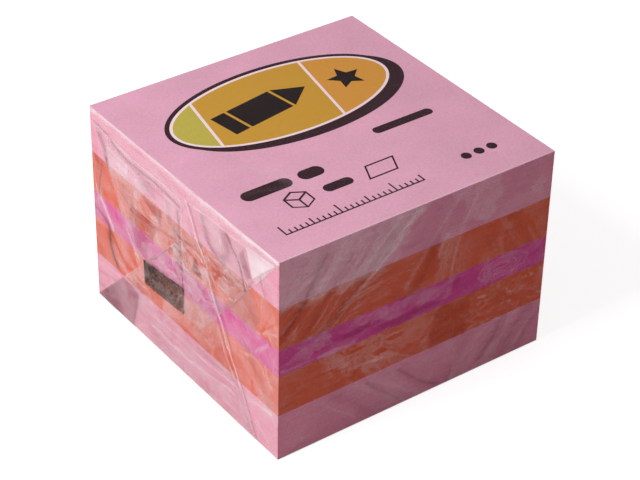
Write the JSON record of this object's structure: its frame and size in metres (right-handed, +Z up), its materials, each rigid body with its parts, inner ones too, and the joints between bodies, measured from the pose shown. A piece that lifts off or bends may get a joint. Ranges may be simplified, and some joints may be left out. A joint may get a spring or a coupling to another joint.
{
  "type": "sticky note pad",
  "caption": "Square block of self-stick notes in stacked pink, orange and magenta runs, sealed in clear printed film that is folded shut over two ends.",
  "frame": {"origin": "middle of the underside, on the surface that the pad stands on", "axes": "+Z up through the sheets, +X the way the printed top reads, -Y towards the foot of the print; the film is folded shut over the two X ends"},
  "size_m": [0.0516, 0.0512, 0.0363],
  "materials": {
    "pink_paper": "matte",
    "orange_paper": "matte",
    "magenta_paper": "matte",
    "liner_paper": "satin",
    "clear_film": "gloss",
    "dark_ink": "gloss",
    "pale_ink": "gloss",
    "lime_ink": "gloss",
    "ochre_ink": "gloss",
    "orange_ink": "gloss"
  },
  "bodies": {
    "root": {"release_liner": "liner_paper", "pink_notes_lower": "pink_paper", "orange_notes_lower": "orange_paper", "magenta_notes": "magenta_paper", "orange_notes_upper": "orange_paper", "pink_notes_upper": "pink_paper", "film_wrap": "clear_film", "eye_mark": "dark_ink", "print_outline": "dark_ink", "print_border": "pale_ink", "print_lime": "lime_ink", "print_ochre": "ochre_ink", "print_orange": "orange_ink", "print_motifs": "dark_ink", "print_small": "dark_ink"}
  },
  "joints": []
}
